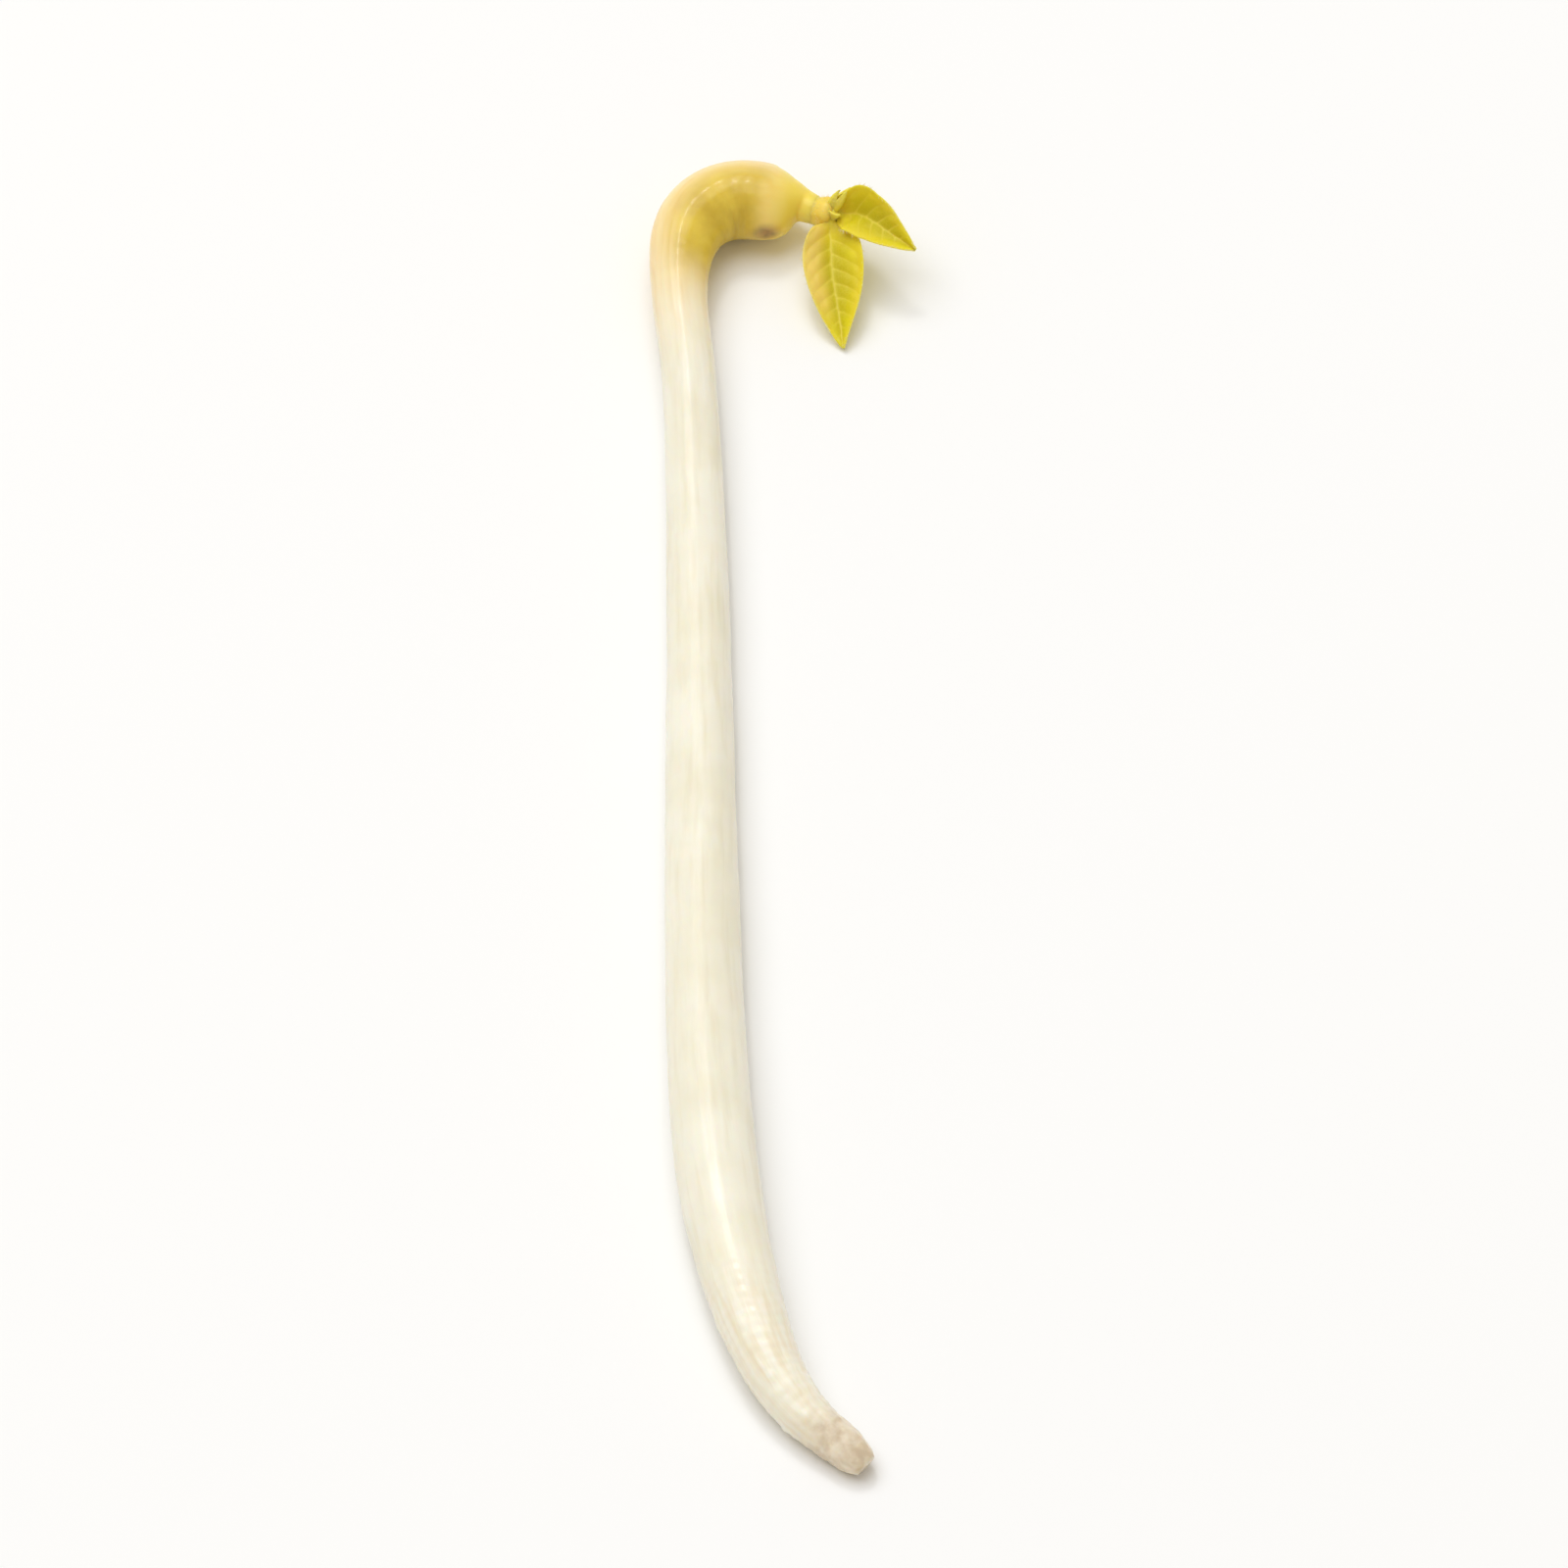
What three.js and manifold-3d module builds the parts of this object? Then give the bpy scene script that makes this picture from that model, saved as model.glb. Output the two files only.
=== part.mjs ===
// A mung bean sprout lying on a surface: millimetres, +Z up, root towards -Y, hook and leaves towards +Y.
// The origin is under the middle of the sprout's box, on the surface that it rests on.

import * as THREE from 'three';
import { mergeVertices } from 'three/addons/utils/BufferGeometryUtils.js';
import Module from 'manifold-3d';

// ---- Driving dimensions -----------------------------------------------------------------------

const HAIRLINE = 0.08; // clear space between the stem's end and the shoot
const FLATTENING = 0.08; // how far the soft stem gives where it lies on the surface

// The axis from root tip to seed-leaf joint: place in plan, radius, and height clear of the surface.
const STEM_STATIONS = [
  { x: 4.92, y: -25.33, radius: 0.4, lift: 0.1 },
  { x: 4.67, y: -25.11, radius: 0.57, lift: 0.02 },
  { x: 4.18, y: -24.64, radius: 0.66, lift: 0.0 },
  { x: 3.22, y: -23.75, radius: 0.73, lift: 0.04 },
  { x: 2.33, y: -22.46, radius: 0.86, lift: 0.1 },
  { x: 1.68, y: -20.83, radius: 0.99, lift: 0.12 },
  { x: 1.11, y: -18.76, radius: 1.12, lift: 0.08 },
  { x: 0.64, y: -16.23, radius: 1.23, lift: 0.0 },
  { x: 0.33, y: -13.34, radius: 1.23, lift: 0.0 },
  { x: 0.06, y: -8.24, radius: 1.16, lift: 0.0 },
  { x: -0.11, y: -1.03, radius: 1.07, lift: 0.0 },
  { x: -0.19, y: 6.64, radius: 0.97, lift: 0.06 },
  { x: -0.35, y: 12.66, radius: 0.88, lift: 0.22 },
  { x: -0.54, y: 16.44, radius: 0.83, lift: 0.38 },
  { x: -0.84, y: 19.46, radius: 0.85, lift: 0.48 },
  { x: -0.84, y: 20.95, radius: 0.95, lift: 0.41 },
  { x: -0.68, y: 21.95, radius: 1.07, lift: 0.29 },
  { x: -0.32, y: 22.75, radius: 1.16, lift: 0.21 },
  { x: 0.28, y: 23.33, radius: 1.23, lift: 0.14 },
  { x: 1.0, y: 23.56, radius: 1.26, lift: 0.11 },
  { x: 1.68, y: 23.52, radius: 1.25, lift: 0.12 },
  { x: 2.15, y: 23.44, radius: 1.18, lift: 0.19 },
  { x: 2.53, y: 23.42, radius: 1.0, lift: 0.38 },
  { x: 2.86, y: 23.4, radius: 0.7, lift: 0.68 },
  { x: 3.1, y: 23.34, radius: 0.52, lift: 0.84 },
];
const STEM_STEPS_PER_STATION = 4;
const STEM_SIDES = 20;
const STEM_OVAL = 0.025; // share by which the stem is wider than high
const STEM_RIDGE = 0.012; // share by which its faint lengthwise ridges stand out
const STEM_RIDGES = 5;
const STEM_RIDGE_TWIST = 0.25; // radians by which the ridges turn per millimetre

// The two scars of the seed leaves, on the hook's inner and outer side.
const SCAR_STATION = 20.9; // place along STEM_STATIONS
const SCAR_RADIUS = 0.44;
const SCAR_PROUD = 0.1;
const SCAR_SIDES = 12;

// The shoot above the seed leaves' joint, from the stem's end onwards.
const SHOOT_PATH = [
  [3.46, 23.15, 1.28],
  [3.8, 23.02, 1.3],
  [4.14, 22.95, 1.3],
];
const SHOOT_RADIUS = 0.46;
const SHOOT_PROFILE = [0.98, 1.0, 1.0, 1.2, 0.75]; // shares of SHOOT_RADIUS, from foot to joint
const SHOOT_STEPS = 12;
const SHOOT_SIDES = 14;

// The terminal bud and the two stipules at the feet of the leaf stalks: slim pointed eggs.
const JOINT = [3.92, 22.97, 1.3]; // the place in the shoot that they leave from
const BUD = { direction: [0.42, 0.1, 0.9], length: 1.15, radius: 0.31, sides: 10 };
const STIPULES = [
  { direction: [0.3, -0.62, 0.72], length: 0.85, radius: 0.22, sides: 8 },
  { direction: [0.62, 0.62, 0.5], length: 0.85, radius: 0.22, sides: 8 },
];
const EGG_PROFILE = [0.7, 0.98, 0.97, 0.68, 0.12]; // shares of an egg's radius, from foot to tip
const EGG_STEPS = 8;

// The two first leaves: a short stalk, then a lance-shaped blade that is folded up along its rib.
const BLADE_THICKNESS = 0.62; // across the blade
const STALK_HALF_WIDTH = 0.31;
const STALK_SHARE = 0.14; // share of a leaf's length that is its stalk
const STALK_TAPER = 0.35; // share by which the rib has thinned at the tip
const WIDEST_PLACE = 0.72; // exponent of the blade's outline: below 1, it is widest before its middle
const FULLNESS = 0.76; // exponent of the blade's outline: the lower, the blunter its ends
const CREASE = 0.14; // share of the half width over which the fold is rounded
const MARGIN = 0.25; // how far the rounded margin stands out, as a share of half the height
const LEAF_STEPS = 20;
const LEAF_COLUMNS = 7; // points across each face of a blade
const LEAF_FRONT = {
  rib: [
    [3.98, 22.34, 1.16],
    [3.98, 21.78, 0.98],
    [4.02, 20.95, 0.8],
    [4.17, 19.95, 0.58],
    [4.3, 19.05, 0.42],
    [4.38, 18.42, 0.36],
  ],
  facingAtStalk: [0.1, 0.2, 1],
  facingAtTip: [-0.25, 0.15, 1],
  halfWidth: 1.15,
  foldDegrees: 36,
  waves: 1.6,
  waveHeight: 0.1,
};
const LEAF_SIDE = {
  rib: [
    [4.42, 22.98, 1.32],
    [4.9, 22.7, 1.62],
    [5.42, 22.12, 1.88],
    [5.9, 21.58, 1.96],
    [6.3, 21.22, 1.98],
    [6.64, 20.98, 1.92],
  ],
  facingAtStalk: [-0.1, -0.45, 0.9],
  facingAtTip: [-0.2, -0.6, 0.78],
  halfWidth: 0.98,
  foldDegrees: 40,
  waves: 1.3,
  waveHeight: 0.12,
};

const STEM_LOOK = { color: 0xf5f0dd, roughness: 0.35, metalness: 0 };
const SHOOT_LOOK = { color: 0xe9cf62, roughness: 0.4, metalness: 0 };
const LEAF_LOOK = { color: 0xcfc02f, roughness: 0.5, metalness: 0 };

// ---- Geometry helpers -------------------------------------------------------------------------

const UP = new THREE.Vector3(0, 0, 1);

function vector([x, y, z]) {
  return new THREE.Vector3(x, y, z);
}

// A smooth course of numbers, read at a share of the way along.
function course(numbers) {
  const curve = new THREE.SplineCurve(numbers.map((number) => new THREE.Vector2(number, 0)));
  return (t) => curve.getPoint(t).x;
}

// The cross-section's axes at a place on a curve: side to the right of the way along it, and up.
function frameAt(curve, t, facing) {
  const tangent = curve.getTangent(t);
  const side = new THREE.Vector3().crossVectors(tangent, facing).normalize();
  const up = new THREE.Vector3().crossVectors(side, tangent);
  return { centre: curve.getPoint(t), side, up };
}

// A point of a cross-section, given sideways and upwards from the frame's centre.
function pointIn(frame, sideways, upwards) {
  return frame.centre.clone().addScaledVector(frame.side, sideways).addScaledVector(frame.up, upwards);
}

// A closed surface over rings of equally many points, with a fan of triangles over each end ring.
function loft(rings) {
  const count = rings[0].length;
  const points = rings.flat();
  const index = [];
  for (let ring = 0; ring + 1 < rings.length; ring += 1) {
    for (let k = 0; k < count; k += 1) {
      const a = ring * count + k;
      const b = ring * count + ((k + 1) % count);
      index.push(a, a + count, b + count, a, b + count, b);
    }
  }
  for (const [ring, forwards] of [[0, true], [rings.length - 1, false]]) {
    const middle = points.length;
    const centre = new THREE.Vector3();
    rings[ring].forEach((point) => centre.addScaledVector(point, 1 / count));
    points.push(centre);
    for (let k = 0; k < count; k += 1) {
      const a = ring * count + k;
      const b = ring * count + ((k + 1) % count);
      index.push(middle, forwards ? a : b, forwards ? b : a);
    }
  }
  const geometry = new THREE.BufferGeometry().setFromPoints(points);
  geometry.setIndex(index);
  return geometry;
}

// A round body along a curve; radiusAt takes the share of the way along.
function roundBody(curve, radiusAt, steps, sides) {
  const rings = [];
  for (let step = 0; step <= steps; step += 1) {
    const frame = frameAt(curve, step / steps, UP);
    const radius = radiusAt(step / steps);
    const ring = [];
    for (let k = 0; k < sides; k += 1) {
      const angle = (2 * Math.PI * k) / sides;
      ring.push(pointIn(frame, radius * Math.cos(angle), radius * Math.sin(angle)));
    }
    rings.push(ring);
  }
  return loft(rings);
}

const wasm = await Module();
wasm.setup();

function solidFrom(geometry) {
  const merged = mergeVertices(geometry, 1e-4);
  return new wasm.Manifold(new wasm.Mesh({
    numProp: 3,
    vertProperties: merged.getAttribute('position').array,
    triVerts: new Uint32Array(merged.index.array),
  }));
}

function geometryFrom(solid) {
  const mesh = solid.getMesh();
  const geometry = new THREE.BufferGeometry();
  geometry.setAttribute('position', new THREE.BufferAttribute(mesh.vertProperties, 3));
  geometry.setIndex(new THREE.BufferAttribute(mesh.triVerts, 1));
  return geometry;
}

// Closed geometries that grow out of one another, joined in one solid.
function joined(geometries) {
  return geometryFrom(geometries.map(solidFrom).reduce((whole, next) => whole.add(next)));
}

// ---- Stem and root ----------------------------------------------------------------------------

const stemPath = new THREE.CatmullRomCurve3(STEM_STATIONS.map(
  ({ x, y, radius, lift }) => new THREE.Vector3(x, y, radius + lift - FLATTENING),
));
const stemRadiusAt = course(STEM_STATIONS.map(({ radius }) => radius));

// A stem is never quite round: it is a little wider than high, with faint ridges that wander along it.
function unevenness(angle, y) {
  const ridges = Math.cos(STEM_RIDGES * angle + STEM_RIDGE_TWIST * y);
  return 1 + STEM_OVAL * Math.cos(2 * angle) + STEM_RIDGE * ridges;
}

function stemGeometry() {
  const steps = (STEM_STATIONS.length - 1) * STEM_STEPS_PER_STATION;
  const rings = [];
  for (let step = 0; step <= steps; step += 1) {
    const frame = frameAt(stemPath, step / steps, UP);
    const radius = stemRadiusAt(step / steps);
    const ring = [];
    for (let k = 0; k < STEM_SIDES; k += 1) {
      const angle = (2 * Math.PI * k) / STEM_SIDES;
      const reach = radius * unevenness(angle, frame.centre.y);
      const point = pointIn(frame, reach * Math.cos(angle), reach * Math.sin(angle));
      point.z = Math.max(point.z, 0);
      ring.push(point);
    }
    rings.push(ring);
  }
  return loft(rings);
}

// A low round collar on the stem's side: a flattened ball sunk well in.
function scarGeometry(towards) {
  const t = SCAR_STATION / (STEM_STATIONS.length - 1);
  const frame = frameAt(stemPath, t, UP);
  const reach = stemRadiusAt(t) - SCAR_PROUD;
  const collar = new THREE.SphereGeometry(SCAR_RADIUS, SCAR_SIDES, SCAR_SIDES / 2);
  collar.deleteAttribute('normal');
  collar.deleteAttribute('uv');
  collar.scale((2 * SCAR_PROUD) / SCAR_RADIUS, 1, 1);
  const outwards = frame.side.clone().multiplyScalar(towards);
  collar.applyQuaternion(new THREE.Quaternion().setFromUnitVectors(new THREE.Vector3(1, 0, 0), outwards));
  const centre = frame.centre.clone().addScaledVector(outwards, reach);
  return collar.translate(centre.x, centre.y, centre.z);
}

// ---- Shoot ------------------------------------------------------------------------------------

function shootStalkGeometry() {
  const foot = stemPath.getPoint(1).addScaledVector(stemPath.getTangent(1), HAIRLINE);
  const path = new THREE.CatmullRomCurve3([foot, ...SHOOT_PATH.map(vector)]);
  const profile = course(SHOOT_PROFILE);
  return roundBody(path, (t) => SHOOT_RADIUS * profile(t), SHOOT_STEPS, SHOOT_SIDES);
}

// A pointed egg out of the shoot's joint, as buds and scales are.
function pointedEgg({ direction, length, radius, sides }) {
  const tip = vector(JOINT).addScaledVector(vector(direction).normalize(), length);
  const profile = course(EGG_PROFILE);
  return roundBody(new THREE.LineCurve3(vector(JOINT), tip), (t) => radius * profile(t), EGG_STEPS, sides);
}

function shootGeometry() {
  return joined([shootStalkGeometry(), ...[BUD, ...STIPULES].map(pointedEgg)]);
}

// ---- Leaves -----------------------------------------------------------------------------------

// Half the width of a leaf at a share of its length: the stalk or rib, and the blade's swell on top of it.
function halfWidthAt(u, widest) {
  const blade = Math.max(0, (u - STALK_SHARE) / (1 - STALK_SHARE));
  const swell = blade < 1 ? Math.sin(Math.PI * blade ** WIDEST_PLACE) ** FULLNESS : 0;
  return STALK_HALF_WIDTH * (1 - STALK_TAPER * u) + (widest - STALK_HALF_WIDTH) * swell;
}

// Height of a blade's middle above its rib, v from -1 at one margin to 1 at the other.
function riseAt(u, v, leaf, halfWidth, fold) {
  const folded = halfWidth * Math.sin(fold) * (Math.hypot(v, CREASE) - CREASE);
  return folded + leaf.waveHeight * v * v * Math.sin(2 * Math.PI * leaf.waves * u + v);
}

// One leaf: both faces are rows of points across the rib, folded up on either side of it.
function leafGeometry(leaf) {
  const rib = new THREE.CatmullRomCurve3(leaf.rib.map(vector));
  const facingAtStalk = vector(leaf.facingAtStalk).normalize();
  const facingAtTip = vector(leaf.facingAtTip).normalize();
  const fullFold = THREE.MathUtils.degToRad(leaf.foldDegrees);
  const columns = Array.from({ length: LEAF_COLUMNS }, (_, k) => -1 + (2 * k) / (LEAF_COLUMNS - 1));
  const rings = [];
  for (let step = 0; step <= LEAF_STEPS; step += 1) {
    const u = step / LEAF_STEPS;
    const frame = frameAt(rib, u, facingAtStalk.clone().lerp(facingAtTip, u));
    const blade = THREE.MathUtils.smoothstep(u, 0, 2 * STALK_SHARE);
    const fold = fullFold * blade;
    const halfWidth = halfWidthAt(u, leaf.halfWidth);
    const across = halfWidth * Math.cos(fold);
    const halfHeight = BLADE_THICKNESS / 2 / Math.cos(fold);
    const pointAt = (v, outwards, upwards) => {
      const rise = blade * riseAt(u, v, leaf, halfWidth, fullFold);
      const point = pointIn(frame, v * (across + outwards), rise + upwards);
      point.z = Math.max(point.z, 0);
      return point;
    };
    rings.push([
      ...columns.map((v) => pointAt(v, 0, -halfHeight)),
      pointAt(1, MARGIN * halfHeight, 0),
      ...columns.toReversed().map((v) => pointAt(v, 0, halfHeight)),
      pointAt(-1, MARGIN * halfHeight, 0),
    ]);
  }
  return loft(rings);
}

// ---- Assembly ---------------------------------------------------------------------------------

function piece(name, geometry, look) {
  const mesh = new THREE.Mesh(geometry, new THREE.MeshStandardMaterial(look));
  mesh.name = name;
  return mesh;
}

const sprout = new THREE.Group();
sprout.add(
  piece('stem_and_root', joined([stemGeometry(), scarGeometry(1), scarGeometry(-1)]), STEM_LOOK),
  piece('shoot', shootGeometry(), SHOOT_LOOK),
  piece('leaf_front', leafGeometry(LEAF_FRONT), LEAF_LOOK),
  piece('leaf_side', leafGeometry(LEAF_SIDE), LEAF_LOOK),
);

// The plan's middle goes over the origin; the surface stays at height 0.
const middle = new THREE.Box3().setFromObject(sprout).getCenter(new THREE.Vector3());
sprout.position.set(-middle.x, -middle.y, 0);

export default sprout;
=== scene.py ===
# A mung bean sprout lying on a pale surface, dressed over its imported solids.
import math
import random

import bpy
import numpy as np
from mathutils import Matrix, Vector, noise


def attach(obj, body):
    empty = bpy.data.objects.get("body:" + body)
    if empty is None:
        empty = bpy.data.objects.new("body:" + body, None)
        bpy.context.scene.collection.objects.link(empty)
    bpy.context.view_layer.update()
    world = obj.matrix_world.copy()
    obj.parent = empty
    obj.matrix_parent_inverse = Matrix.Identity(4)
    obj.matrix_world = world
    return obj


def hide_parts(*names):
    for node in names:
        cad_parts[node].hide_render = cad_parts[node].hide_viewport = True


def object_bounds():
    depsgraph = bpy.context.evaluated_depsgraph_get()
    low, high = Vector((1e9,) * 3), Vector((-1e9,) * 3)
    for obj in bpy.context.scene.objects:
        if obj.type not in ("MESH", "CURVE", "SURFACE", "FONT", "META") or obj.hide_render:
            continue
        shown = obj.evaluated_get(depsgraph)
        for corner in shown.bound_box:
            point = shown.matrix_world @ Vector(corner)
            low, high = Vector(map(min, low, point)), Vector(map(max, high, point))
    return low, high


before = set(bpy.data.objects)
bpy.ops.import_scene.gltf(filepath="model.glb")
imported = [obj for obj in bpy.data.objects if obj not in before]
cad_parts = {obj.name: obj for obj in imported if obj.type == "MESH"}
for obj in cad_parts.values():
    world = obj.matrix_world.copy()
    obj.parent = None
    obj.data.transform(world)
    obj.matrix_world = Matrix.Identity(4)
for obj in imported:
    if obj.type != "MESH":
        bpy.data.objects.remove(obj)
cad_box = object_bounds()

# Lengths are in millimetres, in the plan that the solids are drawn in, unless said otherwise.
# A band is the two values between which one look or form gives way to the next. Lumps and other
# noise are given by height, cells per millimetre and seed. A leaf has a seed of its own.

MM = 0.001
FULL_TURN = 2 * math.pi
UP = np.array([0.0, 0.0, 1.0])
CURVE_SAMPLES = 40  # for each point of a curve, to measure its length
SHIFT = np.array([-2.4826, 0.3975, 0.0])  # from the plan to the frame

# ---- The stem's form ----------------------------------------------------------------------------

# The axis from root tip to seed-leaf joint: x, y, radius, height clear of the surface.
STEM_STATIONS = np.array([
    (4.92, -25.33, 0.40, 0.10),
    (4.67, -25.11, 0.57, 0.02),
    (4.18, -24.64, 0.66, 0.00),
    (3.22, -23.75, 0.73, 0.04),
    (2.33, -22.46, 0.86, 0.10),
    (1.68, -20.83, 0.99, 0.12),
    (1.11, -18.76, 1.12, 0.08),
    (0.64, -16.23, 1.23, 0.00),
    (0.33, -13.34, 1.23, 0.00),
    (0.06, -8.24, 1.16, 0.00),
    (-0.11, -1.03, 1.07, 0.00),
    (-0.19, 6.64, 0.97, 0.06),
    (-0.35, 12.66, 0.88, 0.22),
    (-0.54, 16.44, 0.83, 0.38),
    (-0.84, 19.46, 0.85, 0.48),
    (-0.84, 20.95, 0.95, 0.41),
    (-0.68, 21.95, 1.07, 0.29),
    (-0.32, 22.75, 1.16, 0.21),
    (0.28, 23.33, 1.23, 0.14),
    (1.00, 23.56, 1.26, 0.11),
    (1.68, 23.52, 1.25, 0.12),
    (2.15, 23.44, 1.18, 0.19),
    (2.53, 23.42, 1.00, 0.38),
    (2.86, 23.40, 0.72, 0.66),
    (3.10, 23.34, 0.54, 0.82),
    (3.38, 23.19, 0.48, 0.89),  # inside the foot of the shoot from here on
    (3.66, 23.07, 0.42, 0.96),
])
STEM_RINGS = 640
STEM_SIDES = 120
STEM_NUDGE = 0.018  # keeps the cross-sections from crossing where the stem bends
STEM_OVAL = 0.025  # share by which the stem is wider than high
STEM_RIDGE = 0.012  # share by which its faint lengthwise ridges stand out
STEM_RIDGES = 5
STEM_RIDGE_TWIST = 0.25  # radians by which the ridges turn per millimetre
FLATTENING = 0.08  # how far the soft stem gives where it lies on the surface

SCAR_STATION = 20.9  # place of the seed leaves' scars along STEM_STATIONS
SCAR_RADIUS = 0.3
SCAR_SHORTENING = 0.4  # share taken off squared distances lengthwise, so the scar is oval
SCAR_PROUD = 0.1  # height of the mound that a scar sits on
SCAR_MOUND_RADIUS = 0.5
SCAR_LIP = 0.03
SCAR_LIP_WIDTH = 0.09
SCAR_LIP_BROWN = 0.35  # how brown the lip is against the pit
SCAR_PIT = 0.05
SCAR_PIT_SHARE = 0.8  # of SCAR_RADIUS

# ---- The stem's looks: where they change, and its relief ----------------------------------------

ROOT_BAND = (17.0, 21.5)  # of -y
NECK_BAND = (15.5, 23)  # of y
TIP_BAND = (0.8, 2.9)  # of the distance from the root's tip
TIP_EDGE = (0.4, 1.1, 61.0)  # by which the tip's band wanders
HOOK_BAND = (13.6, 15.2)  # of the place along STEM_STATIONS
# Inside the hook the skin is olive: partly the hook's own yellow, partly painted shade on the inner
# side of the bend.
OLIVE_END_BAND = (SCAR_STATION - 1.6, SCAR_STATION + 0.9)
OLIVE_SIDE_BAND = (-0.85, 0.2)  # of the cosine of the angle round the stem
# Towards the seed leaves' joint the skin turns bright yellow: partly the shoot's own yellow, partly a
# painted highlight that reaches further back on the lower side.
YELLOW_AND_HIGHLIGHT_END_BAND = (SCAR_STATION - 1.3, SCAR_STATION + 1.4)
PATCHES = (0.5, 0.7, 15.0)  # by which the olive's end and the bright end's start wander
PATCH_LEAN = 0.5  # how much later along the stem they come on its upper side

BROAD_SWELL = (0.03, 0.22, 3.0)
FINE_SWELL = (0.012, 0.9, 8.0)
ROOT_LUMPS = (0.018, 2.2, 21.0)
ROOT_GRAIN = (0.006, 7.0, 24.0)
BROKEN_END = (0.04, 3.5, 41.0)
BROKEN_LOSS = 0.03  # by which the broken end has shrunk

LINES = 21  # fine lines that run along the stem
LINE_HEIGHT = 0.005
LINE_WANDER = (2.4, 0.8, 5.0)  # radians
LINE_STRETCH = (1, 0.12, 1)
LINE_FADE = 0.4  # share by which they come and go
LINE_FADE_RATE = 0.7  # radians per millimetre
LINE_FADE_TURNS = 3

# Rings round the skin: height, spacing, how far noise bends them, and its seed.
HOOK_FOLDS = (0.006, 0.55, 5, 11.0)
ROOT_WRINKLES = (0.008, 0.36, 4, 31.0)
RING_NOISE = 0.9  # cells per millimetre

COLLAR_Y = -17.6  # the shallow groove where the root starts
COLLAR_DEPTH = 0.02
COLLAR_WIDTH = 0.5
COLLAR_SLANT = 0.25

# The buds of the side roots, in four rows along the root.
NUB_ROWS = 4
NUBS_IN_ROW = 4
NUB_START = 2.2
NUB_SPACING = 1.25
NUB_SCATTER = 0.4
NUB_FIRST_ANGLE = 0.5
NUB_ANGLE_SCATTER = 0.2
NUB_HEIGHTS = (0.015, 0.05)
NUB_LENGTH = 0.16
NUB_WIDTH = 0.12
NUB_SEED = 17

# ---- The shoot, its bud and its stipules --------------------------------------------------------

SHOOT_PATH = [
    (2.76, 23.53, 1.27),
    (3.12, 23.33, 1.27),
    (3.46, 23.15, 1.28),
    (3.80, 23.02, 1.30),
    (4.14, 22.95, 1.30),
]
SHOOT_RADIUS = 0.46
# Shares of the way along the shoot, and of its radius there.
SHOOT_PROFILE = [(0, 0.84), (0.25, 0.99), (0.6, 1.0), (0.82, 1.2), (0.94, 1.0), (1, 0.5)]
SHOOT_RINGS = 110
SHOOT_SIDES = 72
SHOOT_SMOOTHING = 6  # rings to either side that the profile is evened over
SHOOT_RIDGE = 0.012
SHOOT_RIDGES = 8
SHOOT_RIDGE_TWIST = 0.8  # radians per millimetre
SHOOT_LUMPS = (0.02, 1.8, 52.0)
SHOOT_LUMPS_BAND = (0.5, 0.8)  # shares of the way along it
SHOOT_FOOT_BAND = (0.45, 0.95)

JOINT = np.array([3.92, 22.97, 1.30])  # where the bud and the stipules leave the shoot
BUD_DIRECTION = (0.42, 0.1, 0.9)
BUD_LENGTH = 1.2
BUD_LEAFLETS = (1.0, 0.8, 0.9)  # shares of BUD_LENGTH
BUD_TURN = 0.2
# Shares of a leaflet's length, and how far it bulges from the bud's axis there.
BUD_BULGE = [(0.0, 0.02), (0.3, 0.14), (0.6, 0.18), (0.85, 0.15), (1.0, 0.11)]
BUD_LEAFLET_HALF_WIDTH = 0.24
BUD_LEAFLET_FOLD = 50
BUD_SEED = 20.0

STIPULE_DIRECTIONS = [(0.3, -0.62, 0.72), (0.62, 0.62, 0.5)]
STIPULE_LENGTH = 1.1
STIPULE_BEND = [(0.3, 0.0), (0.55, -0.03), (0.8, -0.05), (1.0, -0.04)]
STIPULE_HALF_WIDTH = 0.22
STIPULE_FOLD = 24
STIPULE_SEED = 30.0
SCALE_WAVES = 1.0
SCALE_WAVE = 0.02

# ---- The leaves ---------------------------------------------------------------------------------

# The rib's course, the way that the upper face looks at foot and tip, the fold in degrees, the
# margins' waves and their height, and how strong the painted light is on the half that lies
# flatter in the light.
LEAF_FRONT = {
    "rib": [
        (3.90, 22.84, 1.27),
        (3.97, 21.84, 1.02),
        (4.02, 20.95, 0.80),
        (4.17, 19.95, 0.52),
        (4.30, 19.05, 0.30),
        (4.37, 18.32, 0.17),
    ],
    "facing": [(0.1, 0.2, 1.0), (-0.25, 0.15, 1.0)],
    "half_width": 1.26,
    "fold": 38,
    "waves": 1.6,
    "wave": 0.1,
    "seed": 3.0,
    "pale": 0.85,
}
LEAF_SIDE = {
    "rib": [
        (4.08, 22.97, 1.28),
        (4.84, 22.73, 1.56),
        (5.40, 22.12, 1.87),
        (5.90, 21.59, 1.96),
        (6.30, 21.22, 1.98),
        (6.68, 20.94, 1.92),
    ],
    "facing": [(-0.1, -0.45, 0.9), (-0.2, -0.6, 0.78)],
    "half_width": 1.08,
    "fold": 42,
    "waves": 1.3,
    "wave": 0.12,
    "seed": 9.0,
    "pale": 0.0,
}

# Sections along a blade and points across it, its thickness, half the width of its stalk, the
# stalk's share of the length, and the distance between side veins.
BLADE_THICKNESS = 0.2
FIRST_LEAF = {"rows": 170, "columns": 57, "thickness": BLADE_THICKNESS, "stalk": 0.29,
              "stalk_share": 0.07, "vein_spacing": 0.52}
BUD_LEAFLET = {"rows": 70, "columns": 29, "thickness": 0.1, "stalk": 0.08,
               "stalk_share": 0.12, "vein_spacing": 0.16}
STIPULE = {"rows": 60, "columns": 29, "thickness": 0.09, "stalk": 0.2,
           "stalk_share": 0.1, "vein_spacing": 0.2}

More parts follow.
